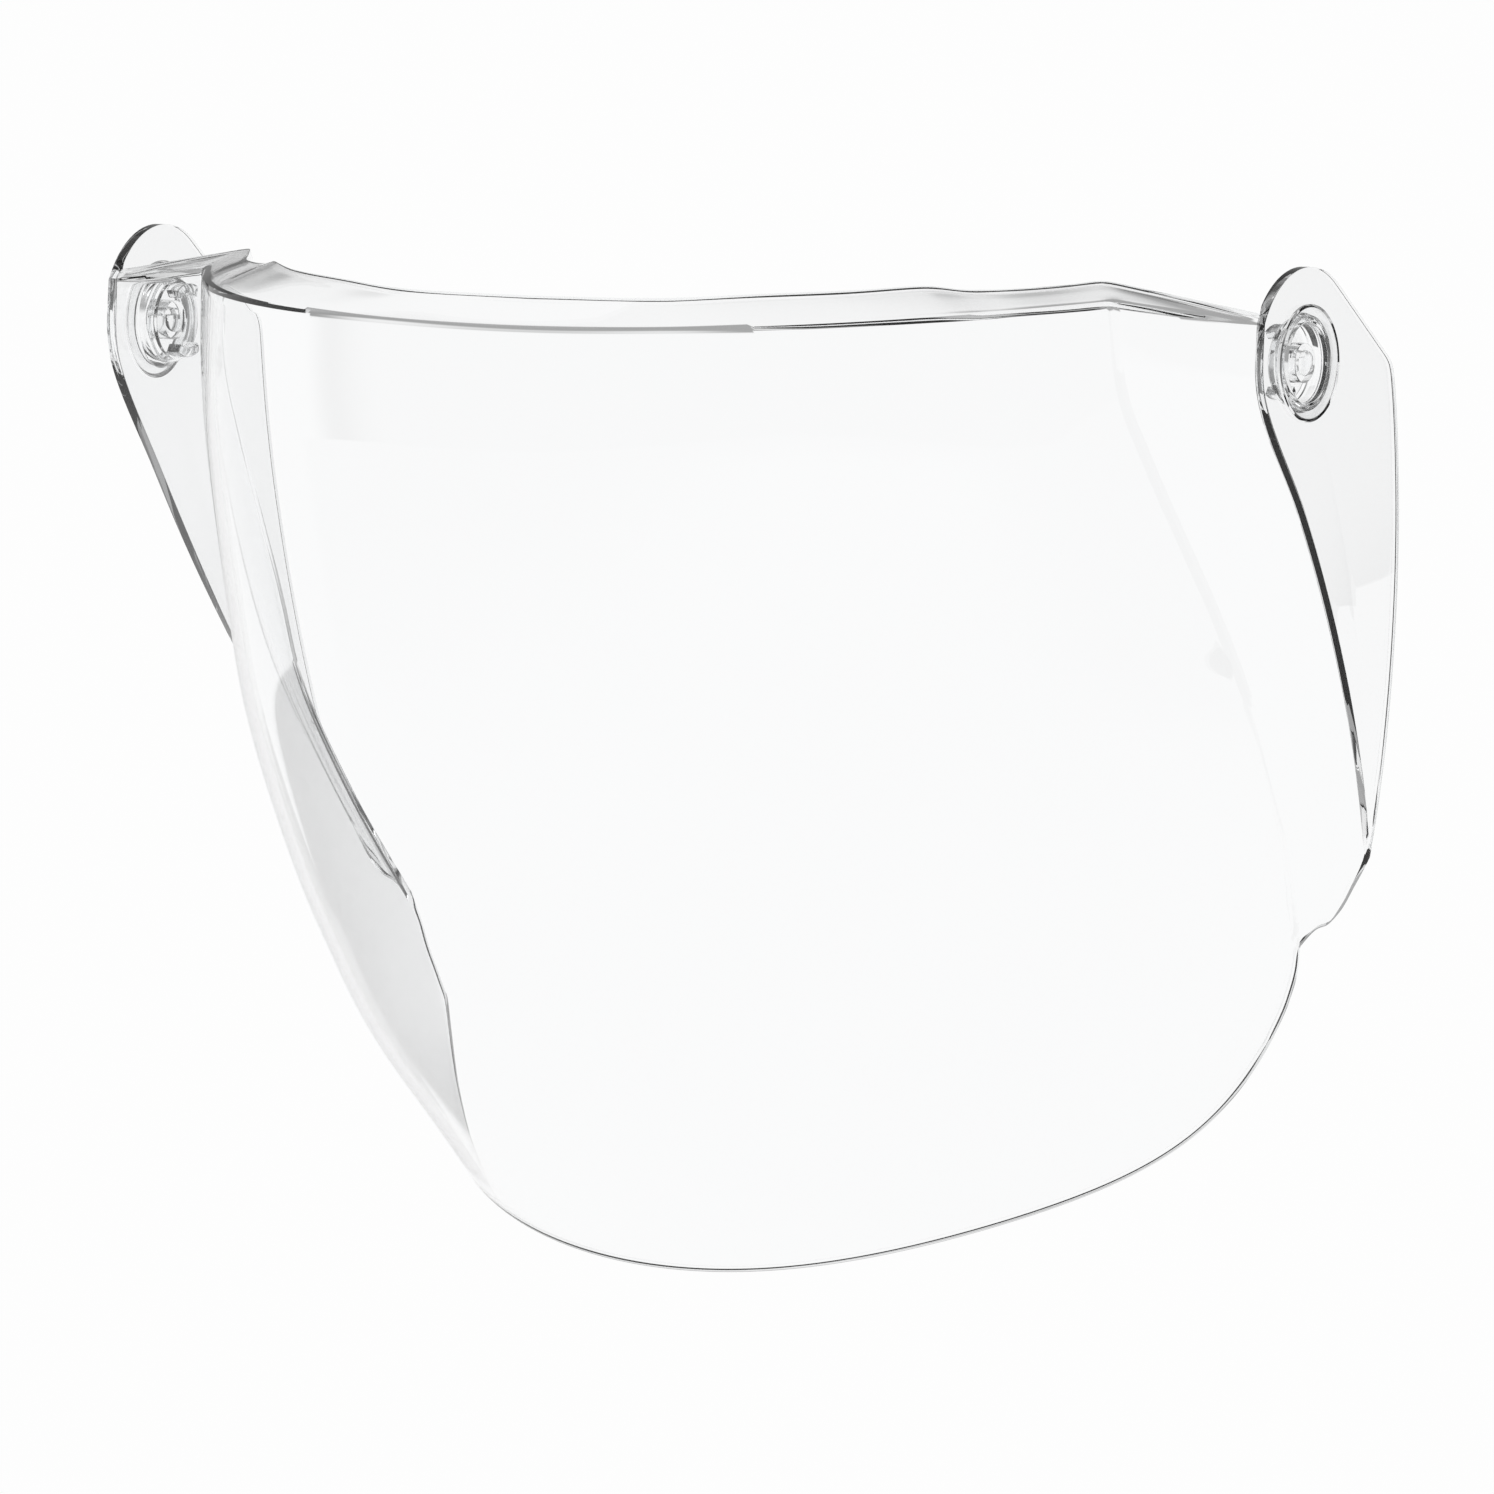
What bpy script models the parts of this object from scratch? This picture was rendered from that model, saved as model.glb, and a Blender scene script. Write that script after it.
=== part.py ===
"""Clear full-face safety visor that swings up on two side pivots.

Frame: +X to the visor's left ear, -Y to the front, +Z up, metres.
The origin is on the pivot axis, midway between the ears.
"""
import math

import bmesh
import bpy
from mathutils import Vector

for _o in list(bpy.data.objects):
    bpy.data.objects.remove(_o, do_unlink=True)

MM = 0.001

# ---- driving dimensions, millimetres ------------------------------------
SHEET_T = 2.0            # moulded polycarbonate thickness
EAR_PLANE_X = 125.0      # outer face of an ear, from the mid-plane
EAR_BEND_START = 24.0    # distance below the pivot where the ear starts to lean in
EAR_BEND_RATE = 1.3e-3   # lean-in, mm per mm squared
EAR_BEND_SKEW = 0.40     # how much the lean also grows rearward
EAR_FRONT_Y = -16.5      # front fold of the ear, ahead of the pivot axis

CORE_R = 5.5             # inner edge of the ear mesh before the pivot hole is cut
HOLE_R = 8.75            # pivot hole in the ear
SEAT_R = 10.85           # counterbore that takes the hub's flange flush
SEAT_DEPTH = 1.15
FLANGE_R = 10.6          # outer flange of the pivot hub
FLANGE_T = 0.95
FLANGE_CHAMFER = 0.35
GAP = 0.15               # running gap between hub and ear
BARREL_R = 8.50          # hub barrel through the ear
WELL_R = 7.4             # round recess in the hub
WELL_DEPTH = 4.6
HUB_DEPTH = 5.8          # how far the hub reaches inward from the ear's outer face
BOSS_R = 3.7             # round boss in the middle of the recess
BOSS_BORE_R = 2.3
BOSS_T = 3.6             # boss height above the recess floor
KEY_LEN = 6.4            # flat key across the recess
KEY_T = 1.0
KEY_H = 2.4
LUG_IN_R = 5.2           # curved locking lugs on the back of the hub
LUG_OUT_R = 7.0
LUG_HALF_DEG = 34.0
LUG_H = 2.6

BEAD_R = 9.15           # snap bead that holds the hub in its ear
BEAD_W = 0.7

SWING_UP_DEG = 80.0      # how far the visor lifts

# ---- horizontal sections of the curved face -----------------------------
# centre-line y, z, then the side point x, y, z, then two fullness figures:
# how far the flat middle runs, and where the shoulder turns (fractions).
SECTIONS = (
    # v,    yc,    zc,     xs,    ys,    zs,    flat, sh_x, sh_y
    (0.00, -75.6,   6.7,   98.5, -25.6,  11.7,  0.62, 0.80, 0.30),
    (0.08, -75.4,  -7.0,   99.2, -23.4,  -5.4,  0.62, 0.82, 0.30),
    (0.16, -74.8, -19.0,  100.4, -16.4, -18.0,  0.62, 0.85, 0.30),
    (0.35, -70.5, -52.0,  104.0,   4.5, -50.0,  0.62, 0.86, 0.30),
    (0.50, -65.5, -74.0,  105.6,  16.5, -71.0,  0.62, 0.86, 0.32),
    (0.62, -58.5, -94.0,  103.0,  31.1, -92.6,  0.62, 0.90, 0.34),
    (0.75, -49.0, -115.0,  98.0,  43.3, -111.5, 0.63, 0.945, 0.36),
    (0.88, -31.0, -144.0,  95.0,  44.8, -121.5, 0.62, 0.93, 0.42),
    (1.00, -10.6, -172.4,  90.7,  44.6, -130.2, 0.60, 0.80, 0.59),
)
V_NOTCH = 0.75           # the wing ends here, at the notch

# ear outline, y and z from the pivot axis
EAR_FRONT = ((-16.5, 8.0), (-16.5, -5.2), (-0.9, -28.5), (11.7, -47.8),
             (29.1, -74.4), (42.0, -94.3))
EAR_REAR = ((42.0, -94.3), (40.3, -78.3), (38.8, -65.9), (37.2, -53.3),
            (33.6, -23.3), (31.7, -8.0), (30.7, -1.7))
EAR_DOME_R = 17.6
WING_LOWER_DROP = (0.0, 0.2, 2.7, 3.1, 1.6, 0.0)  # stepped lower edge of the wing, from root to tip

# rear edge of the top lip, x, y, z
LIP_REAR = ((0.0, -70.0, 12.2), (28.0, -69.0, 12.6), (46.0, -62.5, 13.6),
            (60.0, -55.6, 14.3), (72.0, -43.6, 14.9), (73.6, -41.8, 14.2),
            (81.0, -37.4, 14.2), (88.0, -26.0, 14.6), (92.2, -18.6, 15.3))
LIP_EAR_RISE = 1.9       # height of the lip where it dies into the ear's front edge

N_COL = 18
N_ROW = 24
N_WING = 5
N_RING = 5
N_LIP = 3


def lerp(a, b, t):
    return a + (b - a) * t


def curve(points, n, tight=0.0):
    """n + 1 points evenly spaced along a smooth curve through the given points."""
    pts = [Vector(p) for p in points]
    dense = []
    for i in range(len(pts) - 1):
        p1, p2 = pts[i], pts[i + 1]
        p0 = pts[i - 1] if i else p1 * 2 - p2
        p3 = pts[i + 2] if i + 2 < len(pts) else p2 * 2 - p1
        a = (p1 - p0).length ** 0.5
        b = (p2 - p1).length ** 0.5
        c = (p3 - p2).length ** 0.5
        m1 = ((p1 - p0) / a - (p2 - p0) / (a + b) + (p2 - p1) / b) * b * (1 - tight)
        m2 = ((p2 - p1) / b - (p3 - p1) / (b + c) + (p3 - p2) / c) * b * (1 - tight)
        for k in range(40):
            t = k / 40.0
            h = (2 * t**3 - 3 * t * t + 1, t**3 - 2 * t * t + t,
                 -2 * t**3 + 3 * t * t, t**3 - t * t)
            dense.append(p1 * h[0] + m1 * h[1] + p2 * h[2] + m2 * h[3])
    dense.append(pts[-1])
    run = [0.0]
    for p, q in zip(dense, dense[1:]):
        run.append(run[-1] + (q - p).length)
    out, j = [], 0
    for i in range(n + 1):
        want = run[-1] * i / n
        while j < len(run) - 2 and run[j + 1] < want:
            j += 1
        span = run[j + 1] - run[j]
        out.append(dense[j].lerp(dense[j + 1], (want - run[j]) / span if span else 0.0))
    return out


def section(v):
    """Section figures at v, smoothly interpolated between the stations."""
    st = SECTIONS
    k = 0
    while k < len(st) - 2 and st[k + 1][0] < v:
        k += 1
    lo, hi = st[k], st[k + 1]
    before = st[k - 1] if k else None
    after = st[k + 2] if k + 2 < len(st) else None
    h = hi[0] - lo[0]
    t = (v - lo[0]) / h
    vals = []
    for c in range(1, 9):
        d = (hi[c] - lo[c]) / h
        m1 = d if before is None else 0.5 * (d + (lo[c] - before[c]) / (lo[0] - before[0]))
        m2 = d if after is None else 0.5 * (d + (after[c] - hi[c]) / (after[0] - hi[0]))
        vals.append((2 * t**3 - 3 * t * t + 1) * lo[c] + (t**3 - 2 * t * t + t) * h * m1
                    + (-2 * t**3 + 3 * t * t) * hi[c] + (t**3 - t * t) * h * m2)
    return vals


def face_point(v, u):
    """Point on the curved face: v from top to bottom, u from centre to side."""
    yc, zc, xs, ys, zs, flat, shx, shy = section(v)
    t = u
    a, b, c = 3 * t * (1 - t) ** 2, 3 * t * t * (1 - t), t**3
    x = flat * a + shx * b + c
    y = shy * b + c
    rise = lerp(x**1.8, 0.62 * x * x + 0.38 * x**12, v)
    return Vector((xs * x, lerp(yc, ys, y), lerp(zc, zs, rise)))


def ear_x(y, z):
    u = -z + EAR_BEND_SKEW * (y - EAR_FRONT_Y)
    return EAR_PLANE_X - EAR_BEND_RATE * max(0.0, u - EAR_BEND_START) ** 2


def on_ear(y, z):
    return Vector((ear_x(y, z), y, z))


# ---- right half of the sheet as named grids -----------------------------
n_wing_rows = round(N_ROW * 0.75)
face = []
for i in range(N_ROW + 1):
    if i <= n_wing_rows:
        v = V_NOTCH * i / n_wing_rows
    else:
        v = V_NOTCH + (1 - V_NOTCH) * (i - n_wing_rows) / (N_ROW - n_wing_rows)
    face.append([face_point(v, j / N_COL) for j in range(N_COL + 1)])

crease = curve([(0.0,) + p for p in EAR_FRONT], n_wing_rows)
crease = [on_ear(p.y, p.z) for p in crease]

wing = []
for i in range(n_wing_rows + 1):
    row = []
    r, e = face[i][N_COL], crease[i]
    s = i / n_wing_rows
    for j in range(N_WING + 1):
        t = j / N_WING
        p = r.lerp(e, t)
        p.z -= WING_LOWER_DROP[j] * max(0.0, (s - 0.4) / 0.6) ** 2.5
        row.append(p)
    wing.append(row)

# ear outline: front fold, rear edge, straight slope, dome
rear = [on_ear(p.y, p.z) for p in curve([(0.0,) + p for p in EAR_REAR], 12)]
corner = EAR_REAR[-1]
reach = math.hypot(*corner)
touch = math.atan2(corner[1], corner[0]) + math.acos(EAR_DOME_R / reach)
tangent = (EAR_DOME_R * math.cos(touch), EAR_DOME_R * math.sin(touch))
slope = [on_ear(lerp(corner[0], tangent[0], k / 5), lerp(corner[1], tangent[1], k / 5))
         for k in range(1, 6)]
top_front = EAR_FRONT[0]
end_ang = math.atan2(top_front[1], top_front[0])
end_r = math.hypot(*top_front)
dome = []
steps = [k / 12 for k in range(1, 12)]
arc = (end_ang - touch) * EAR_DOME_R
steps = [f for f in steps if f < 1 - (LIP_EAR_RISE + 1.2) / arc]
steps += [1 - LIP_EAR_RISE * (N_LIP - k) / N_LIP / arc for k in range(N_LIP)]
for f in steps:
    a = lerp(touch, end_ang, f)
    rr = lerp(EAR_DOME_R, end_r, f * f)
    dome.append(on_ear(rr * math.cos(a), rr * math.sin(a)))
outline = crease + rear[1:] + slope + dome

n_out = len(outline)
run = [0.0]
for k in range(n_out):
    run.append(run[-1] + (outline[(k + 1) % n_out] - outline[k]).length)
ang = [math.atan2(p.z, p.y) for p in outline]
for k in range(1, n_out):
    while ang[k] < ang[k - 1] - 1e-9:
        ang[k] += 2 * math.pi
rings = []
for r in range(N_RING + 1):
    f = (r / N_RING) ** 1.2
    ring = []
    for k, p in enumerate(outline):
        even = ang[0] + 2 * math.pi * k / n_out
        a = 0.35 * ang[k] + 0.65 * even
        y = lerp(CORE_R * math.cos(a), p.y, f)
        z = lerp(CORE_R * math.sin(a), p.z, f)
        ring.append(p if r == N_RING else on_ear(y, z))
    rings.append(ring)

# top lip, from the face's upper edge and the wing's upper edge
lip_face = curve(LIP_REAR, N_COL)
lip_wing = curve([LIP_REAR[-1], tuple(dome[-N_LIP])], N_WING)
lip_top = lip_face + lip_wing[1:]
lip_base = face[0] + wing[0][1:]
lip = []
for r in range(N_LIP + 1):
    f = r / N_LIP
    row = []
    for b, t in zip(lip_base, lip_top):
        p = b.lerp(t, f)
        p.z += 0.35 * 4 * f * (1 - f)
        row.append(p)
    if r:
        row[-1] = dome[-r].copy()
    lip.append(row)


def add_grid(bm, index, grid, side, wrap=False, flip=False):
    def vert(p):
        q = Vector((p.x * side, p.y, p.z)) * MM
        if abs(p.x) < 1e-6:
            q.x = 0.0
        key = (round(q.x * 1e7), round(q.y * 1e7), round(q.z * 1e7))
        if key not in index:
            index[key] = bm.verts.new(q)
        return index[key]

    for r in range(len(grid) - 1):
        n = len(grid[r])
        for c in range(n if wrap else n - 1):
            quad = [vert(grid[r][c]), vert(grid[r + 1][c]),
                    vert(grid[r + 1][(c + 1) % n]), vert(grid[r][(c + 1) % n])]
            loop = []
            for q in quad:
                if q not in loop:
                    loop.append(q)
            if len(loop) < 3:
                continue
            if (side < 0) != flip:
                loop.reverse()
            bm.faces.new(loop)


def material(name, colour, rough, alpha=1.0):
    m = bpy.data.materials.new(name)
    m.use_nodes = True
    b = m.node_tree.nodes["Principled BSDF"]
    b.inputs["Base Color"].default_value = (*colour, 1.0)
    b.inputs["Roughness"].default_value = rough
    b.inputs["Metallic"].default_value = 0.0
    b.inputs["Alpha"].default_value = alpha
    return m


CLEAR = material("clear_polycarbonate", (0.93, 0.95, 0.96), 0.04, 0.35)
HUB_CLEAR = material("clear_hub_plastic", (0.88, 0.91, 0.93), 0.07, 0.45)


def new_object(name, bm, mat, location=(0, 0, 0)):
    me = bpy.data.meshes.new(name)
    bm.to_mesh(me)
    bm.free()
    ob = bpy.data.objects.new(name, me)
    ob.location = location
    me.materials.append(mat)
    bpy.context.scene.collection.objects.link(ob)
    return ob


# ---- shield -------------------------------------------------------------
bm = bmesh.new()
index = {}
for side in (1, -1):
    add_grid(bm, index, face, side)
    add_grid(bm, index, wing, side)
    add_grid(bm, index, rings, side, wrap=True, flip=True)
    add_grid(bm, index, lip, side, flip=True)
bmesh.ops.recalc_face_normals(bm, faces=bm.faces)
front = min(bm.faces, key=lambda f: f.calc_center_median().y)
if front.normal.y > 0:
    bmesh.ops.reverse_faces(bm, faces=bm.faces)
shield = new_object("shield", bm, CLEAR)
mod = shield.modifiers.new("thickness", "SOLIDIFY")
mod.thickness = SHEET_T * MM
mod.offset = -1.0
mod.use_even_offset = True
mod.use_quality_normals = True


def lathe(bm, profile, side, segments=48):
    """Closed solid of revolution about X; profile is (x, r) going round once."""
    loops = []
    for k in range(segments):
        a = 2 * math.pi * (k + 0.5) / segments
        loops.append([bm.verts.new(Vector((x * side, r * math.cos(a), r * math.sin(a))) * MM)
                      if r > 1e-9 else None for x, r in profile])
    poles = {i: bm.verts.new(Vector((profile[i][0] * side, 0, 0)) * MM)
             for i in range(len(profile)) if profile[i][1] <= 1e-9}
    n = len(profile)
    for k in range(segments):
        a, b = loops[k], loops[(k + 1) % segments]
        for i in range(n):
            j = (i + 1) % n
            q = [a[i] or poles[i], a[j] or poles[j], b[j] or poles[j], b[i] or poles[i]]
            loop = []
            for v in q:
                if v not in loop:
                    loop.append(v)
            if len(loop) >= 3:
                bm.faces.new(loop)


def block(bm, lo, hi):
    vs = [bm.verts.new(Vector((x, y, z)) * MM) for x in (lo[0], hi[0])
          for y in (lo[1], hi[1]) for z in (lo[2], hi[2])]
    for f in ((0, 1, 3, 2), (4, 6, 7, 5), (0, 4, 5, 1), (2, 3, 7, 6), (0, 2, 6, 4), (1, 5, 7, 3)):
        bm.faces.new([vs[i] for i in f])


def arc_block(bm, x0, x1, r0, r1, mid_deg, half_deg, steps=8):
    rows = []
    for k in range(steps + 1):
        a = math.radians(mid_deg - half_deg + 2 * half_deg * k / steps)
        c, s = math.cos(a), math.sin(a)
        rows.append([bm.verts.new(Vector((x, r * c, r * s)) * MM)
                     for x, r in ((x0, r0), (x1, r0), (x1, r1), (x0, r1))])
    for p, q in zip(rows, rows[1:]):
        for i in range(4):
            j = (i + 1) % 4
            bm.faces.new((p[i], p[j], q[j], q[i]))
    bm.faces.new(rows[0])
    bm.faces.new(list(reversed(rows[-1])))


def outward(bm):
    bmesh.ops.recalc_face_normals(bm, faces=bm.faces)


def combine(target, name, build, operation="UNION"):
    b = bmesh.new()
    build(b)
    outward(b)
    cutter = new_object(name, b, target.data.materials[0], target.location)
    m = target.modifiers.new(name, "BOOLEAN")
    m.operation = operation
    m.solver = "EXACT"
    m.object = cutter
    bpy.context.view_layer.update()
    dg = bpy.context.evaluated_depsgraph_get()
    me = bpy.data.meshes.new_from_object(target.evaluated_get(dg))
    target.modifiers.clear()
    target.data = me
    if operation == "DIFFERENCE":
        bpy.data.objects.remove(cutter, do_unlink=True)
        return
    tidy = bmesh.new()
    tidy.from_mesh(me)
    bmesh.ops.remove_doubles(tidy, verts=tidy.verts, dist=2e-6)
    bmesh.ops.dissolve_degenerate(tidy, edges=tidy.edges, dist=2e-6)
    tidy.to_mesh(me)
    tidy.free()
    bpy.data.objects.remove(cutter, do_unlink=True)


for side in (1, -1):
    combine(shield, "hole", lambda m: lathe(m, (
        (EAR_PLANE_X - SHEET_T - 3, 0.0), (EAR_PLANE_X - SHEET_T - 3, HOLE_R),
        (EAR_PLANE_X - SEAT_DEPTH, HOLE_R), (EAR_PLANE_X - SEAT_DEPTH, SEAT_R),
        (EAR_PLANE_X + 3, SEAT_R), (EAR_PLANE_X + 3, 0.0)), side), "DIFFERENCE")


def make_hub(name, side):
    face_x = EAR_PLANE_X
    out_x = face_x
    in_x = face_x - HUB_DEPTH
    floor_x = out_x - WELL_DEPTH
    bead_x = out_x - SHEET_T - GAP
    b = bmesh.new()
    lathe(b, ((floor_x, 0.0), (floor_x, WELL_R - 0.6), (floor_x + 0.6, WELL_R),
              (out_x - 0.35, WELL_R), (out_x, WELL_R + 0.4), (out_x, FLANGE_R - FLANGE_CHAMFER),
              (out_x - FLANGE_CHAMFER, FLANGE_R), (out_x - FLANGE_T, FLANGE_R),
              (out_x - FLANGE_T, BARREL_R), (bead_x, BARREL_R),
              (bead_x - 0.35, BEAD_R), (bead_x - BEAD_W, BEAD_R),
              (bead_x - BEAD_W - 0.9, BARREL_R - 0.4), (in_x + 0.8, BARREL_R - 0.4),
              (in_x, BARREL_R - 1.2), (in_x, 0.0)), side)
    outward(b)
    ob = new_object(name, b, HUB_CLEAR)
    combine(ob, "boss", lambda m: lathe(m, (
        (floor_x - 0.3, BOSS_BORE_R), (floor_x + BOSS_T - 0.3, BOSS_BORE_R),
        (floor_x + BOSS_T, BOSS_BORE_R + 0.3), (floor_x + BOSS_T, BOSS_R - 0.3),
        (floor_x + BOSS_T - 0.3, BOSS_R), (floor_x - 0.3, BOSS_R)), side, 28))

    def key(m):
        x0, x1 = sorted((side * (floor_x - 0.3), side * (floor_x + KEY_H)))
        block(m, (x0, -KEY_LEN / 2 - 0.9, 0.9), (x1, KEY_LEN / 2 - 0.9, 0.9 + KEY_T))
    combine(ob, "key", key)
    for i, mid in enumerate((90.0, 270.0)):
        def lug(m, mid=mid):
            x0, x1 = sorted((side * (in_x - LUG_H), side * (in_x + 0.3)))
            arc_block(m, x0, x1, LUG_IN_R, LUG_OUT_R, mid, LUG_HALF_DEG)
        combine(ob, "lug%d" % i, lug)
    return ob


for label, side in (("left", 1), ("right", -1)):
    make_hub("pivot_hub_" + label, side)

bpy.context.view_layer.update()
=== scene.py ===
import math

import bmesh
import bpy
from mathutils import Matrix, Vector


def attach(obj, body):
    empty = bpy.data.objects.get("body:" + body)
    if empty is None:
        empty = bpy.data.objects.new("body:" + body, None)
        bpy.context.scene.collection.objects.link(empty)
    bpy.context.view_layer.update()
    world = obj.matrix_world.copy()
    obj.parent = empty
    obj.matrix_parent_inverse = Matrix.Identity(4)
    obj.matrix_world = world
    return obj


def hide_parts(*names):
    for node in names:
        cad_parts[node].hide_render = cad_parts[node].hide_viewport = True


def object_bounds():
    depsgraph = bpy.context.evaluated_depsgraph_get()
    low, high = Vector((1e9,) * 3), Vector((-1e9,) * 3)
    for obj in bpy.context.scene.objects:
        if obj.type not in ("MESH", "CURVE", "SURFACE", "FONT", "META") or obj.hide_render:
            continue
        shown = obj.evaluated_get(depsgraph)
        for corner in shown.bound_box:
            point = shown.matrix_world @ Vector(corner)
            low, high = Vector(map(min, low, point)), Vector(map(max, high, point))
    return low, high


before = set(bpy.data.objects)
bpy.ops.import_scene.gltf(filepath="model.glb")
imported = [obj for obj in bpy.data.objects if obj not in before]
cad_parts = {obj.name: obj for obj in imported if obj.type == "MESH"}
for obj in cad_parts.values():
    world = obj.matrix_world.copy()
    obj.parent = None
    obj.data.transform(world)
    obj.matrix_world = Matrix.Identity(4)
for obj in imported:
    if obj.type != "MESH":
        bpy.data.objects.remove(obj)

MM = 0.001
cad_box = [list(c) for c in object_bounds()]
scene = bpy.context.scene

# ==== shape of the clear sheet, millimetres, the same figures as the CAD ====
SHEET_T = 2.0
EAR_PLANE_X = 125.0
EAR_BEND_START = 24.0
EAR_BEND_RATE = 1.3e-3
EAR_BEND_SKEW = 0.40
EAR_FRONT_Y = -16.5
CORE_R = 5.5
HOLE_R = 8.75
SEAT_R = 10.85
SEAT_DEPTH = 1.15
FLANGE_R = 10.6
FLANGE_T = 0.95
GAP = 0.15
BARREL_R = 8.50
WELL_R = 7.4
WELL_DEPTH = 4.6
HUB_DEPTH = 5.8
BOSS_R = 3.7
BOSS_BORE_R = 2.3
BOSS_T = 3.6
KEY_LEN = 6.4
KEY_T = 1.0
KEY_H = 2.4
LUG_IN_R = 5.2
LUG_OUT_R = 7.0
LUG_HALF_DEG = 34.0
LUG_H = 2.6
BEAD_R = 9.15
BEAD_W = 0.7

SECTIONS = (
    (0.00, -75.6,   6.7,   98.5, -25.6,  11.7,  0.62, 0.80, 0.30),
    (0.08, -75.4,  -7.0,   99.2, -23.4,  -5.4,  0.62, 0.82, 0.30),
    (0.16, -74.8, -19.0,  100.4, -16.4, -18.0,  0.62, 0.85, 0.30),
    (0.35, -70.5, -52.0,  104.0,   4.5, -50.0,  0.62, 0.86, 0.30),
    (0.50, -65.5, -74.0,  105.6,  16.5, -71.0,  0.62, 0.86, 0.32),
    (0.62, -58.5, -94.0,  103.0,  31.1, -92.6,  0.62, 0.90, 0.34),
    (0.75, -49.0, -115.0,  98.0,  43.3, -111.5, 0.63, 0.945, 0.36),
    (0.88, -31.0, -144.0,  95.0,  44.8, -121.5, 0.62, 0.93, 0.42),
    (1.00, -10.6, -172.4,  90.7,  44.6, -130.2, 0.60, 0.80, 0.59),
)
V_NOTCH = 0.75
EAR_FRONT = ((-16.5, 8.0), (-16.5, -5.2), (-0.9, -28.5), (11.7, -47.8),
             (29.1, -74.4), (42.0, -94.3))
EAR_REAR = ((42.0, -94.3), (40.3, -78.3), (38.8, -65.9), (37.2, -53.3),
            (33.6, -23.3), (31.7, -8.0), (30.7, -1.7))
EAR_DOME_R = 17.6
WING_LOWER_DROP = (0.0, 0.2, 2.7, 3.1, 1.6, 0.0)
LIP_REAR = ((0.0, -70.0, 12.2), (28.0, -69.0, 12.6), (46.0, -62.5, 13.6),
            (60.0, -55.6, 14.3), (72.0, -43.6, 14.9), (73.6, -41.8, 14.2),
            (81.0, -37.4, 14.2), (88.0, -26.0, 14.6), (92.2, -18.6, 15.3))
LIP_EAR_RISE = 1.9



def lerp(a, b, t):
    return a + (b - a) * t


def dense_curve(points):
    pts = [Vector(p) for p in points]
    dense = []
    for i in range(len(pts) - 1):
        p1, p2 = pts[i], pts[i + 1]
        p0 = pts[i - 1] if i else p1 * 2 - p2
        p3 = pts[i + 2] if i + 2 < len(pts) else p2 * 2 - p1
        a = (p1 - p0).length ** 0.5
        b = (p2 - p1).length ** 0.5
        c = (p3 - p2).length ** 0.5
        m1 = ((p1 - p0) / a - (p2 - p0) / (a + b) + (p2 - p1) / b) * b
        m2 = ((p2 - p1) / b - (p3 - p1) / (b + c) + (p3 - p2) / c) * b
        for k in range(60):
            t = k / 60.0
            h = (2 * t**3 - 3 * t * t + 1, t**3 - 2 * t * t + t,
                 -2 * t**3 + 3 * t * t, t**3 - t * t)
            dense.append(p1 * h[0] + m1 * h[1] + p2 * h[2] + m2 * h[3])
    dense.append(pts[-1])
    return dense


def curve_at(points, fractions):
    """Points at the given fractions of the length of a smooth curve."""
    dense = dense_curve(points)
    run = [0.0]
    for p, q in zip(dense, dense[1:]):
        run.append(run[-1] + (q - p).length)
    out = []
    for f in fractions:
        want = run[-1] * f
        lo, hi = 0, len(run) - 2
        while lo < hi:
            mid = (lo + hi + 1) // 2
            if run[mid] <= want:
                lo = mid
            else:
                hi = mid - 1
        span = run[lo + 1] - run[lo]
        out.append(dense[lo].lerp(dense[lo + 1], (want - run[lo]) / span if span else 0.0))
    return out


def section(v):
    st = SECTIONS
    k = 0
    while k < len(st) - 2 and st[k + 1][0] < v:
        k += 1
    lo, hi = st[k], st[k + 1]
    before = st[k - 1] if k else None
    after = st[k + 2] if k + 2 < len(st) else None
    h = hi[0] - lo[0]
    t = (v - lo[0]) / h
    vals = []
    for c in range(1, 9):
        d = (hi[c] - lo[c]) / h
        m1 = d if before is None else 0.5 * (d + (lo[c] - before[c]) / (lo[0] - before[0]))
        m2 = d if after is None else 0.5 * (d + (after[c] - hi[c]) / (after[0] - hi[0]))
        vals.append((2 * t**3 - 3 * t * t + 1) * lo[c] + (t**3 - 2 * t * t + t) * h * m1
                    + (-2 * t**3 + 3 * t * t) * hi[c] + (t**3 - t * t) * h * m2)
    return vals


def face_point(v, u):
    yc, zc, xs, ys, zs, flat, shx, shy = section(v)
    a, b, c = 3 * u * (1 - u) ** 2, 3 * u * u * (1 - u), u**3
    x = flat * a + shx * b + c
    y = shy * b + c
    rise = lerp(x**1.8, 0.62 * x * x + 0.38 * x**12, v)
    return Vector((xs * x, lerp(yc, ys, y), lerp(zc, zs, rise)))


def ear_x(y, z):
    u = -z + EAR_BEND_SKEW * (y - EAR_FRONT_Y)
    return EAR_PLANE_X - EAR_BEND_RATE * max(0.0, u - EAR_BEND_START) ** 2


def on_ear(y, z):
    return Vector((ear_x(y, z), y, z))


def spread(n):
    return [i / n for i in range(n + 1)]


N_COL, N_WROW, N_BROW, N_WING, N_RING = 32, 36, 14, 8, 7
ROOT_CREASE, FOLD_CREASE, LIP_CREASE = 0.55, 0.92, 0.62

cols = spread(N_COL)                      # centre to side
wrows = spread(N_WROW)                                 # top to notch
brows = [V_NOTCH + (1 - V_NOTCH) * f
         for f in spread(N_BROW)][1:]                   # notch to chin
vs = [V_NOTCH * f for f in wrows] + brows
face = [[face_point(v, u) for u in cols] for v in vs]
n_w = len(wrows)

crease = [on_ear(p.y, p.z) for p in curve_at([(0.0,) + p for p in EAR_FRONT], wrows)]


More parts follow.
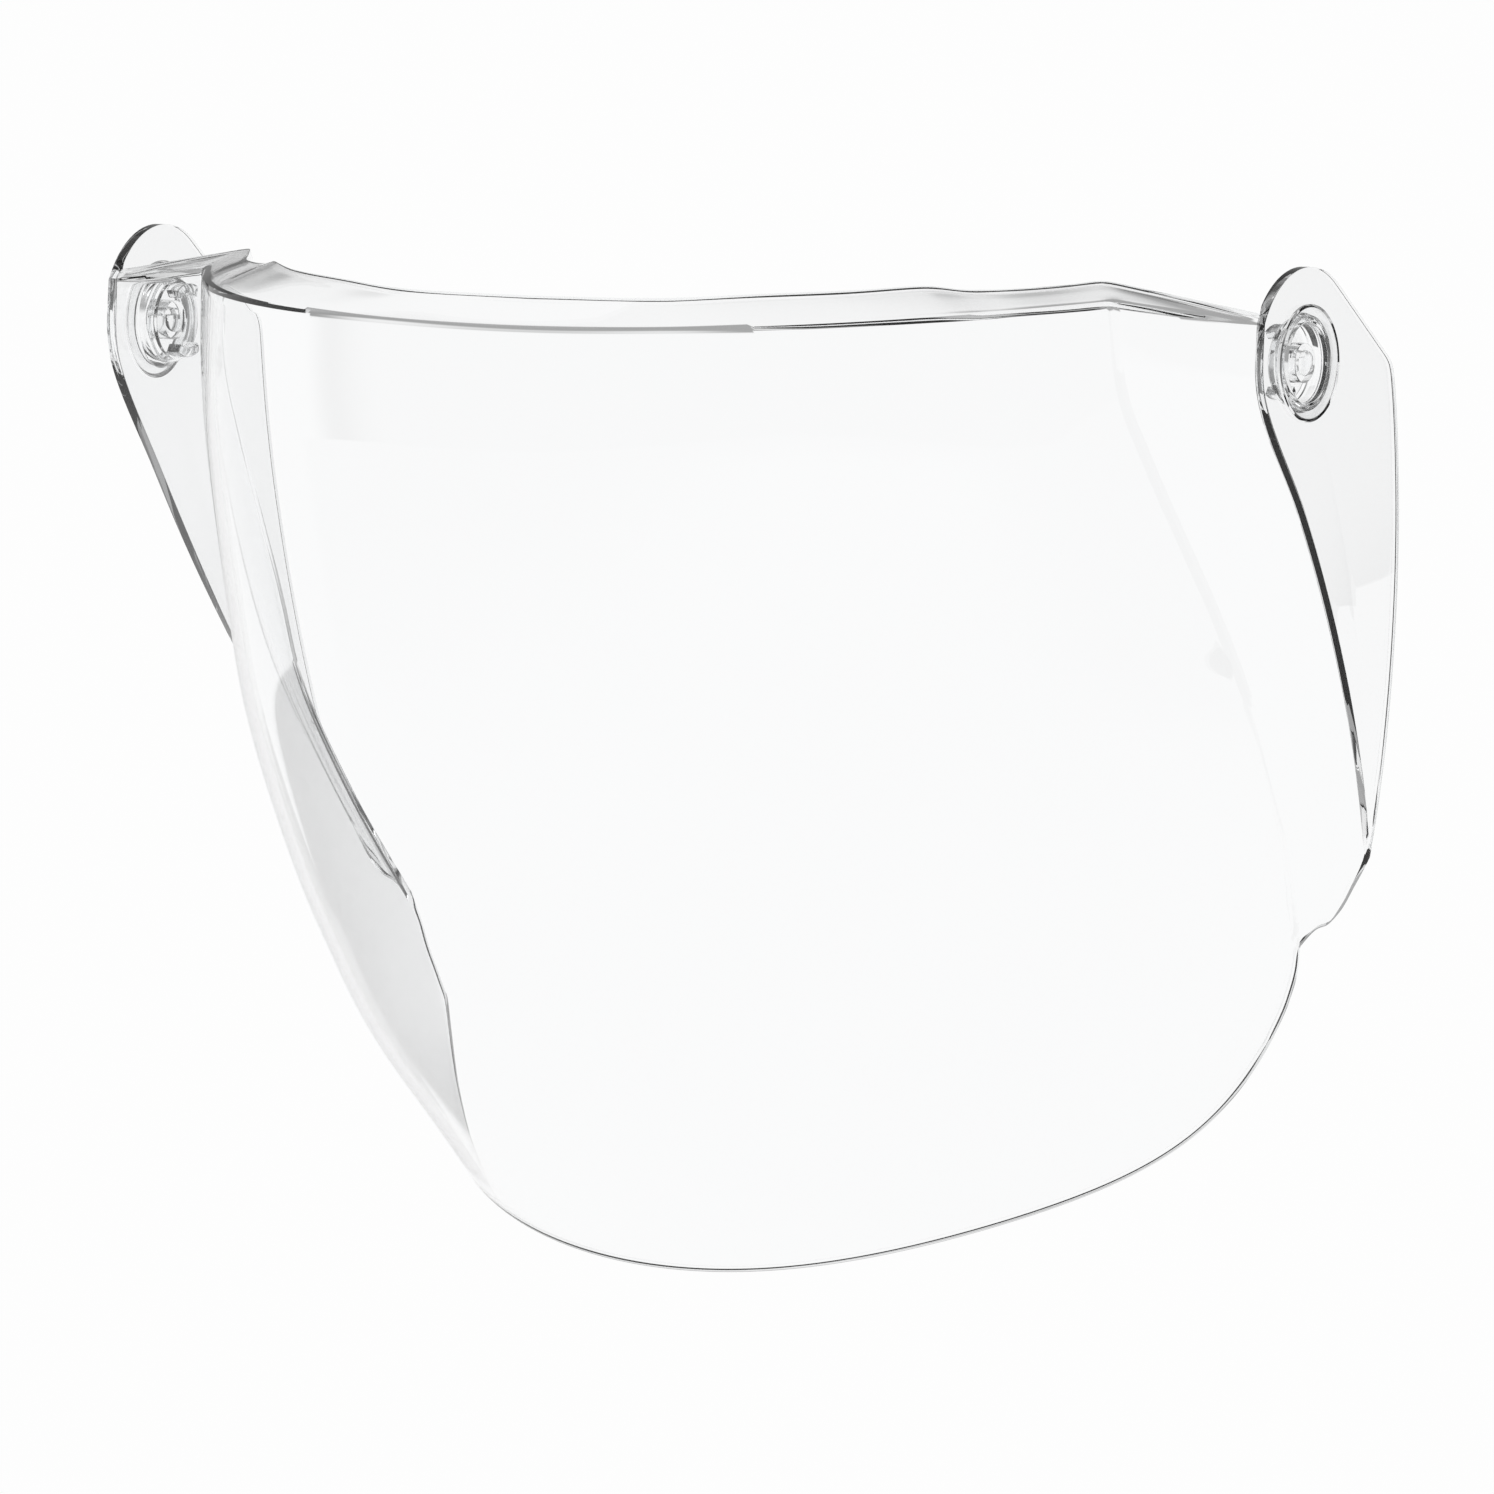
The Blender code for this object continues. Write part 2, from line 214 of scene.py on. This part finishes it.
def drop(t):
    k = min(4, int(t * 5))
    a, b = WING_LOWER_DROP[k], WING_LOWER_DROP[k + 1]
    f = t * 5 - k
    f = f * f * (3 - 2 * f)
    return lerp(a, b, f)


wing = []
for i in range(n_w):
    r, e = face[i][-1], crease[i]
    s = wrows[i]
    row = []
    for t in spread(N_WING):
        p = r.lerp(e, t)
        p.z -= drop(t) * max(0.0, (s - 0.4) / 0.6) ** 2.5
        row.append(p)
    wing.append(row)

# ear outline: front fold, rear edge, straight slope, dome
rear = [on_ear(p.y, p.z) for p in
        curve_at([(0.0,) + p for p in EAR_REAR], [i / 24 for i in range(25)])]
corner = EAR_REAR[-1]
reach = math.hypot(*corner)
touch = math.atan2(corner[1], corner[0]) + math.acos(EAR_DOME_R / reach)
tangent = (EAR_DOME_R * math.cos(touch), EAR_DOME_R * math.sin(touch))
slope = [on_ear(lerp(corner[0], tangent[0], k / 8), lerp(corner[1], tangent[1], k / 8))
         for k in range(1, 9)]
top_front = EAR_FRONT[0]
end_ang = math.atan2(top_front[1], top_front[0])
end_r = math.hypot(*top_front)
arc = (end_ang - touch) * EAR_DOME_R
lip_f = [0.0, 0.28, 0.66, 1.0]
steps = [k / 20 for k in range(1, 20)]
steps = [f for f in steps if f < 1 - (LIP_EAR_RISE + 0.9) / arc]
steps += [1 - LIP_EAR_RISE * f / arc for f in reversed(lip_f[1:])]
dome = []
for f in steps:
    a = lerp(touch, end_ang, f)
    rr = lerp(EAR_DOME_R, end_r, f * f)
    dome.append(on_ear(rr * math.cos(a), rr * math.sin(a)))
outline = crease + rear[1:] + slope + dome
n_out = len(outline)
ang = [math.atan2(p.z, p.y) for p in outline]
for k in range(1, n_out):
    while ang[k] < ang[k - 1] - 1e-9:
        ang[k] += 2 * math.pi
rings = []
for r in range(N_RING + 2):
    f = 1.0 if r > N_RING else (r / N_RING) ** 1.1 * 0.965
    ring = []
    for k, p in enumerate(outline):
        even = ang[0] + 2 * math.pi * k / n_out
        a = 0.35 * ang[k] + 0.65 * even
        y = lerp(CORE_R * math.cos(a), p.y, f)
        z = lerp(CORE_R * math.sin(a), p.z, f)
        ring.append(p.copy() if r > N_RING else on_ear(y, z))
    rings.append(ring)

lip_fr = [u for u in cols]
lip_face = curve_at(LIP_REAR, cols)
lip_wing = curve_at([LIP_REAR[-1], tuple(dome[-3])], spread(N_WING))
lip_top = lip_face + lip_wing[1:]
lip_base = face[0] + wing[0][1:]
lip = []
for r, f in enumerate(lip_f):
    row = []
    for b, t in zip(lip_base, lip_top):
        p = b.lerp(t, f)
        p.z += 0.35 * 4 * f * (1 - f)
        row.append(p)
    if r:
        row[-1] = dome[-r].copy()
    lip.append(row)


def add_grid(bm, index, grid, side, wrap=False, flip=False):
    def vert(p):
        q = Vector((p.x * side, p.y, p.z)) * MM
        if abs(p.x) < 1e-6:
            q.x = 0.0
        key = (round(q.x * 1e7), round(q.y * 1e7), round(q.z * 1e7))
        if key not in index:
            index[key] = bm.verts.new(q)
        return index[key]

    for r in range(len(grid) - 1):
        n = len(grid[r])
        for c in range(n if wrap else n - 1):
            quad = [vert(grid[r][c]), vert(grid[r + 1][c]),
                    vert(grid[r + 1][(c + 1) % n]), vert(grid[r][(c + 1) % n])]
            loop = []
            for q in quad:
                if q not in loop:
                    loop.append(q)
            if len(loop) < 3:
                continue
            if (side < 0) != flip:
                loop.reverse()
            bm.faces.new(loop)


def new_object(name, bm, mat=None):
    me = bpy.data.meshes.new(name)
    bm.to_mesh(me)
    bm.free()
    ob = bpy.data.objects.new(name, me)
    if mat:
        me.materials.append(mat)
    scene.collection.objects.link(ob)
    return ob


def bake(ob):
    """Applies the object's modifiers to its own mesh."""
    bpy.context.view_layer.update()
    me = bpy.data.meshes.new_from_object(
        ob.evaluated_get(bpy.context.evaluated_depsgraph_get()))
    ob.modifiers.clear()
    ob.data = me


def outward(bm):
    bmesh.ops.recalc_face_normals(bm, faces=bm.faces)


def lathe(bm, profile, side, segments=96):
    """Closed solid of revolution about X; profile is (x, r) going round once."""
    loops = []
    for k in range(segments):
        a = 2 * math.pi * (k + 0.5) / segments
        loops.append([bm.verts.new(Vector((x * side, r * math.cos(a), r * math.sin(a))) * MM)
                      if r > 1e-9 else None for x, r in profile])
    poles = {i: bm.verts.new(Vector((profile[i][0] * side, 0, 0)) * MM)
             for i in range(len(profile)) if profile[i][1] <= 1e-9}
    n = len(profile)
    for k in range(segments):
        a, b = loops[k], loops[(k + 1) % segments]
        for i in range(n):
            j = (i + 1) % n
            q = [a[i] or poles[i], a[j] or poles[j], b[j] or poles[j], b[i] or poles[i]]
            loop = []
            for v in q:
                if v not in loop:
                    loop.append(v)
            if len(loop) >= 3:
                bm.faces.new(loop)


def rounded(profile, radius, steps=4, keep=()):
    """The closed profile with each corner turned by a small arc."""
    out = []
    n = len(profile)
    for i in range(n):
        p = Vector(profile[i])
        if profile[i][1] <= 1e-9 or i in keep:
            out.append(tuple(p))
            continue
        a = Vector(profile[i - 1]) - p
        b = Vector(profile[(i + 1) % n]) - p
        d = min(radius, a.length * 0.42, b.length * 0.42)
        a, b = p + a.normalized() * d, p + b.normalized() * d
        for k in range(steps + 1):
            t = k / steps
            q = a.lerp(p, t).lerp(p.lerp(b, t), t)
            out.append((q.x, q.y))
    return out


def arc_block(bm, x0, x1, r0, r1, mid_deg, half_deg, steps=20):
    rows = []
    for k in range(steps + 1):
        a = math.radians(mid_deg - half_deg + 2 * half_deg * k / steps)
        c, s = math.cos(a), math.sin(a)
        rows.append([bm.verts.new(Vector((x, r * c, r * s)) * MM)
                     for x, r in ((x0, r0), (x1, r0), (x1, r1), (x0, r1))])
    for p, q in zip(rows, rows[1:]):
        for i in range(4):
            j = (i + 1) % 4
            bm.faces.new((p[i], p[j], q[j], q[i]))
    bm.faces.new(rows[0])
    bm.faces.new(list(reversed(rows[-1])))


def block(bm, lo, hi):
    vs_ = [bm.verts.new(Vector((x, y, z)) * MM) for x in (lo[0], hi[0])
           for y in (lo[1], hi[1]) for z in (lo[2], hi[2])]
    for f in ((0, 1, 3, 2), (4, 6, 7, 5), (0, 4, 5, 1), (2, 3, 7, 6), (0, 2, 6, 4), (1, 5, 7, 3)):
        bm.faces.new([vs_[i] for i in f])


def combine(target, build, operation="UNION", round_mm=0.0):
    b = bmesh.new()
    build(b)
    outward(b)
    tool = new_object("tool", b)
    if round_mm:
        m = tool.modifiers.new("soft", "BEVEL")
        m.width = round_mm * MM
        m.segments = 3
        m.limit_method = "ANGLE"
        m.angle_limit = math.radians(40)
        bake(tool)
    m = target.modifiers.new("tool", "BOOLEAN")
    m.operation = operation
    m.solver = "EXACT"
    m.object = tool
    bake(target)
    bpy.data.objects.remove(tool, do_unlink=True)


def smooth(ob, degrees=38.0):
    for p in ob.data.polygons:
        p.use_smooth = True
    ob.data.set_sharp_from_angle(angle=math.radians(degrees))


# ==== materials ============================================================
def clear_plastic(name, tint, absorb, rough, ripple, seed):
    """Clear moulded polycarbonate: refracting, faintly absorbing, with slight
    flow ripple, handling haze and a few hairline scuffs."""
    m = bpy.data.materials.new(name)
    m.use_nodes = True
    nt = m.node_tree
    nt.nodes.clear()
    N, L = nt.nodes.new, nt.links.new
    out = N("ShaderNodeOutputMaterial")
    pr = N("ShaderNodeBsdfPrincipled")
    pr.inputs["Base Color"].default_value = (*tint, 1)
    pr.inputs["Metallic"].default_value = 0.0
    pr.inputs["IOR"].default_value = 1.49
    pr.inputs["Transmission Weight"].default_value = 1.0
    co = N("ShaderNodeTexCoord")
    haze = N("ShaderNodeTexNoise")
    haze.noise_dimensions = "4D"
    haze.inputs["Scale"].default_value = 22.0
    haze.inputs["Detail"].default_value = 3.0
    haze.inputs["W"].default_value = seed
    L(co.outputs["Object"], haze.inputs["Vector"])
    rr = N("ShaderNodeMapRange")
    rr.inputs["From Min"].default_value = 0.35
    rr.inputs["From Max"].default_value = 0.75
    rr.inputs["To Min"].default_value = rough
    rr.inputs["To Max"].default_value = rough * 2.4
    L(haze.outputs["Fac"], rr.inputs["Value"])
    L(rr.outputs["Result"], pr.inputs["Roughness"])
    tone = N("ShaderNodeMix")
    tone.data_type = "RGBA"
    tone.inputs["A"].default_value = (*tint, 1)
    tone.inputs["B"].default_value = (*[min(1.0, c * 1.012) for c in tint], 1)
    L(haze.outputs["Fac"], tone.inputs["Factor"])
    L(tone.outputs["Result"], pr.inputs["Base Color"])
    # long lazy flow ripple and fine mould texture
    flow = N("ShaderNodeTexNoise")
    flow.inputs["Scale"].default_value = 9.0
    flow.inputs["Detail"].default_value = 1.5
    L(co.outputs["Object"], flow.inputs["Vector"])
    scuff_map = N("ShaderNodeMapping")
    scuff_map.inputs["Scale"].default_value = (900.0, 900.0, 26.0)
    scuff_map.inputs["Rotation"].default_value = (0.35, 0.5, 0.2)
    L(co.outputs["Object"], scuff_map.inputs["Vector"])
    scuff = N("ShaderNodeTexNoise")
    scuff.inputs["Scale"].default_value = 1.0
    scuff.inputs["Detail"].default_value = 2.0
    L(scuff_map.outputs["Vector"], scuff.inputs["Vector"])
    cut = N("ShaderNodeMapRange")
    cut.inputs["From Min"].default_value = 0.80
    cut.inputs["From Max"].default_value = 0.86
    L(scuff.outputs["Fac"], cut.inputs["Value"])
    add = N("ShaderNodeMath")
    add.operation = "MULTIPLY_ADD"
    add.inputs[1].default_value = -0.03
    L(cut.outputs["Result"], add.inputs[0])
    L(flow.outputs["Fac"], add.inputs[2])
    bump = N("ShaderNodeBump")
    bump.inputs["Strength"].default_value = ripple
    bump.inputs["Distance"].default_value = 0.0006
    L(add.outputs["Value"], bump.inputs["Height"])
    L(bump.outputs["Normal"], pr.inputs["Normal"])
    L(pr.outputs["BSDF"], out.inputs["Surface"])
    vol = N("ShaderNodeVolumeAbsorption")
    vol.inputs["Color"].default_value = (0.62, 0.66, 0.70, 1)
    vol.inputs["Density"].default_value = absorb
    L(vol.outputs["Volume"], out.inputs["Volume"])
    return m


SHEET = clear_plastic("clear_sheet", (0.970, 0.973, 0.975), 4.0, 0.003, 0.008, 1.0)
HUB = clear_plastic("clear_hub", (0.975, 0.978, 0.98), 6.0, 0.004, 0.01, 4.0)

# ==== shield ===============================================================
bm = bmesh.new()
index = {}
for side in (1, -1):
    add_grid(bm, index, face, side)
    add_grid(bm, index, wing, side)
    add_grid(bm, index, rings, side, wrap=True, flip=True)
    add_grid(bm, index, lip, side, flip=True)
# the folds keep their edge through the subdivision, each with its own softness
sharp = bm.edges.layers.float.new("crease_edge")
n_fold = 0
for side in (1, -1):
    for line, value in (([row[0] for row in wing], ROOT_CREASE), (crease, FOLD_CREASE),
                        (lip_base, LIP_CREASE), ([row[-1] for row in lip], FOLD_CREASE)):
        keys = []
        for p in line:
            q = Vector((p.x * side, p.y, p.z)) * MM
            if abs(p.x) < 1e-6:
                q.x = 0.0
            keys.append(index[(round(q.x * 1e7), round(q.y * 1e7), round(q.z * 1e7))])
        for v0, v1 in zip(keys, keys[1:]):
            edge = bm.edges.get((v0, v1))
            if edge:
                edge[sharp] = value
                n_fold += 1
bmesh.ops.recalc_face_normals(bm, faces=bm.faces)
front = min(bm.faces, key=lambda f: f.calc_center_median().y)
if front.normal.y > 0:
    bmesh.ops.reverse_faces(bm, faces=bm.faces)
shield = new_object("visor_shell", bm, SHEET)
mod = shield.modifiers.new("thickness", "SOLIDIFY")
mod.thickness = SHEET_T * MM
mod.offset = -1.0
mod.use_even_offset = True
mod.use_quality_normals = True
mod.edge_crease_outer = 0.9
mod.edge_crease_inner = 0.9
mod = shield.modifiers.new("smooth", "SUBSURF")
mod.levels = mod.render_levels = 2
bake(shield)
for side in (1, -1):
    combine(shield, lambda m: lathe(m, rounded((
        (EAR_PLANE_X - SHEET_T - 3, 0.0), (EAR_PLANE_X - SHEET_T - 3, HOLE_R),
        (EAR_PLANE_X - SEAT_DEPTH, HOLE_R), (EAR_PLANE_X - SEAT_DEPTH, SEAT_R),
        (EAR_PLANE_X + 3, SEAT_R), (EAR_PLANE_X + 3, 0.0)), 0.18), side), "DIFFERENCE")
smooth(shield, 40)
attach(shield, "visor")
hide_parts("shield")


# ==== hubs ============================================
def make_hub(name, side):
    out_x = EAR_PLANE_X
    in_x = EAR_PLANE_X - HUB_DEPTH
    floor_x = out_x - WELL_DEPTH
    bead_x = out_x - SHEET_T - GAP
    b = bmesh.new()
    lathe(b, rounded((
        (floor_x, 0.0), (floor_x, WELL_R - 0.6), (floor_x + 0.6, WELL_R),
        (out_x - 0.35, WELL_R), (out_x, WELL_R + 0.4), (out_x, FLANGE_R - 0.35),
        (out_x - 0.35, FLANGE_R), (out_x - FLANGE_T, FLANGE_R),
        (out_x - FLANGE_T, BARREL_R), (bead_x, BARREL_R),
        (bead_x - 0.35, BEAD_R), (bead_x - BEAD_W, BEAD_R),
        (bead_x - BEAD_W - 0.9, BARREL_R - 0.4), (in_x + 0.8, BARREL_R - 0.4),
        (in_x, BARREL_R - 1.2), (in_x, 0.0)), 0.12), side, 128)
    outward(b)
    ob = new_object(name, b, HUB)
    combine(ob, lambda m: lathe(m, rounded((
        (floor_x - 0.4, BOSS_BORE_R), (floor_x + BOSS_T, BOSS_BORE_R),
        (floor_x + BOSS_T, BOSS_R), (floor_x - 0.4, BOSS_R)), 0.15), side, 64))

    def key(m):
        x0, x1 = sorted((side * (floor_x - 0.4), side * (floor_x + KEY_H)))
        block(m, (x0, -KEY_LEN / 2 - 0.9, 0.9), (x1, KEY_LEN / 2 - 0.9, 0.9 + KEY_T))
    combine(ob, key, round_mm=0.10)
    for mid in (90.0, 270.0):
        def lug(m, mid=mid):
            x0, x1 = sorted((side * (in_x - LUG_H), side * (in_x + 0.5)))
            arc_block(m, x0, x1, LUG_IN_R, LUG_OUT_R, mid, LUG_HALF_DEG)
        combine(ob, lug, round_mm=0.14)
    smooth(ob)
    return ob


for label, side in (("left", 1), ("right", -1)):
    hub = make_hub("hub_" + label, side)
    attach(hub, "hub_" + label)
    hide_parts("pivot_hub_" + label)

# ==== studio light =========================================================
AZ, EL = math.radians(31.2), math.radians(4.4)
right = Vector((math.cos(AZ), math.sin(AZ), 0))
back = Vector((math.sin(AZ) * math.cos(EL), -math.cos(AZ) * math.cos(EL), math.sin(EL)))
up = back.cross(right)

class Tones:
    """Small node helpers for one tree; every result is a value socket."""

    def __init__(self, tree, vec):
        self.tree = tree
        self.vec = vec

    def dot(self, axis):
        d = self.tree.nodes.new("ShaderNodeVectorMath")
        d.operation = "DOT_PRODUCT"
        self.tree.links.new(self.vec, d.inputs[0])
        d.inputs[1].default_value = axis
        return d.outputs["Value"]

    def ramp(self, value, a, b, lo, hi):
        r = self.tree.nodes.new("ShaderNodeMapRange")
        r.interpolation_type = "SMOOTHSTEP"
        self.tree.links.new(value, r.inputs["Value"])
        r.inputs["From Min"].default_value = a
        r.inputs["From Max"].default_value = b
        r.inputs["To Min"].default_value = lo
        r.inputs["To Max"].default_value = hi
        return r.outputs["Result"]

    def math(self, op, a, b):
        m = self.tree.nodes.new("ShaderNodeMath")
        m.operation = op
        for k, v in enumerate((a, b)):
            if isinstance(v, (int, float)):
                m.inputs[k].default_value = v
            else:
                self.tree.links.new(v, m.inputs[k])
        return m.outputs["Value"]

    def studio(self):
        """Brightness of the studio in a direction: a white sweep behind the
        object, a paler wall of light in front of it, soft dark flags between."""
        ahead = self.dot(tuple(-back))
        across = self.dot(tuple(right))
        rise = self.dot((0, 0, 1))
        # the sweep runs further round on the left than on the right
        turn = self.math("ADD", ahead, self.ramp(across, 0.0, -0.5, 0.0, 0.34))
        sweep = self.ramp(turn, 0.28, 0.44, 0.0, WHITE - DARK)
        # above the horizon the sweep falls off
        sweep = self.math("MULTIPLY", sweep, self.ramp(rise, 0.0, 0.09, 1.0, 0.34))
        wall = self.ramp(ahead, 0.02, -0.22, 0.0, WALL - DARK)
        total = self.math("ADD", sweep, wall)
        # the flag to the right, dark at its inner edge and paler outwards;
        # above the horizon it leans in over the sweep
        lean = self.math("ADD", across, self.ramp(rise, -0.02, 0.03, 0.0, 0.34))
        inner = self.ramp(lean, 0.53, 0.61, 1.0, 0.06)
        outer = self.ramp(across, 0.74, 0.86, 0.0, 0.48)
        keep = self.math("ADD", inner, outer)
        keep = self.math("MAXIMUM", keep, self.ramp(rise, 0.45, 0.75, 0.0, 1.0))
        keep = self.math("MAXIMUM", keep, self.ramp(ahead, 0.26, 0.14, 0.0, 1.0))
        total = self.math("MULTIPLY", total, keep)
        top = self.ramp(rise, 0.58, 0.92, 0.0, 0.5)
        return self.math("ADD", self.math("MAXIMUM", total, top), DARK)


WHITE, WALL, DARK = 0.985, 0.78, 0.05

world = bpy.data.worlds.new("studio")
scene.world = world
world.use_nodes = True
nt = world.node_tree
nt.nodes.clear()
out = nt.nodes.new("ShaderNodeOutputWorld")
bg = nt.nodes.new("ShaderNodeBackground")
bg.inputs["Color"].default_value = (1, 1, 1, 1)
tc = nt.nodes.new("ShaderNodeTexCoord")
nt.links.new(Tones(nt, tc.outputs["Generated"]).studio(), bg.inputs["Strength"])
nt.links.new(bg.outputs[0], out.inputs["Surface"])

# ==== floor: a pale round table glowing white, with painted shade on its sides falling off to the studio's tone ====
low = cad_box[0][2]
b = bmesh.new()
bmesh.ops.create_circle(b, cap_ends=True, radius=0.9, segments=128)
bmesh.ops.translate(b, verts=b.verts, vec=(0, 0, low - 0.0006))
pale = bpy.data.materials.new("pale_floor")
pale.use_nodes = True
nt = pale.node_tree
nt.nodes.clear()
out = nt.nodes.new("ShaderNodeOutputMaterial")
em = nt.nodes.new("ShaderNodeEmission")
em.inputs["Color"].default_value = (1, 1, 1, 1)
tc = nt.nodes.new("ShaderNodeTexCoord")
unit = nt.nodes.new("ShaderNodeVectorMath")
unit.operation = "NORMALIZE"
flat_pos = nt.nodes.new("ShaderNodeVectorMath")
flat_pos.operation = "MULTIPLY"
flat_pos.inputs[1].default_value = (1, 1, 0)
nt.links.new(tc.outputs["Object"], flat_pos.inputs[0])
nt.links.new(flat_pos.outputs[0], unit.inputs[0])
# painted light and shade: the studio's brightness in each direction is copied into the floor's
# glow, never below 0.86
tone = Tones(nt, unit.outputs[0])
tone = tone.math("MAXIMUM", tone.studio(), 0.86)
here = Tones(nt, flat_pos.outputs[0])
aside = here.math("ABSOLUTE", here.dot(tuple(right)), 0.0)
reach_out = nt.nodes.new("ShaderNodeVectorMath")
reach_out.operation = "LENGTH"
nt.links.new(flat_pos.outputs[0], reach_out.inputs[0])
# painted shade: away from the middle, sideways and towards the rim, the glow falls from white to
# the studio's darker tone
painted_shade_fall = here.math("MAXIMUM", here.ramp(aside, 0.19, 0.62, 0.0, 1.0),
                 here.ramp(reach_out.outputs["Value"], 0.57, 0.87, 0.0, 1.0))
painted_floor_glow = here.math("ADD", here.math("MULTIPLY", painted_shade_fall, tone),
                  here.math("MULTIPLY", here.math("SUBTRACT", 1.0, painted_shade_fall), WHITE))
nt.links.new(painted_floor_glow, em.inputs["Strength"])
nt.links.new(em.outputs[0], out.inputs["Surface"])
floor = new_object("floor", b, pale)


def softbox(name, where, size, energy):
    d = bpy.data.lights.new(name, "AREA")
    d.shape = "RECTANGLE"
    d.size, d.size_y = size
    d.energy = energy
    o = bpy.data.objects.new(name, d)
    scene.collection.objects.link(o)
    o.location = where
    o.rotation_euler = (Vector((0, 0, -0.06)) - Vector(where)).to_track_quat("-Z", "Y").to_euler()
    return o


softbox("key", tuple(back * 1.6 + Vector((0, 0, 1.6)) + right * 0.9), (1.4, 1.4), 6.0)
softbox("fill", tuple(-back * 1.2 + Vector((0, 0, 1.8)) - right * 1.2), (1.6, 1.6), 3.0)

# ==== camera ===============================================================
cam = bpy.data.cameras.new("camera")
cam.type = "PERSP"
cam.lens = 800.0
cam.sensor_width = 36.0
cam_ob = bpy.data.objects.new("camera", cam)
scene.collection.objects.link(cam_ob)
scene.camera = cam_ob
FRAME_W = 0.2767
aim = right * 0.0038 - up * 0.0753
distance = FRAME_W * cam.lens / cam.sensor_width
cam_ob.location = aim + back * distance
cam_ob.rotation_mode = "QUATERNION"
cam_ob.rotation_quaternion = (-back).to_track_quat("-Z", "Y")
cam.clip_start, cam.clip_end = 0.1, 200.0

scene.cycles.max_bounces = 28
scene.cycles.transmission_bounces = 28
scene.view_settings.view_transform = "Standard"
scene.view_settings.look = "None"
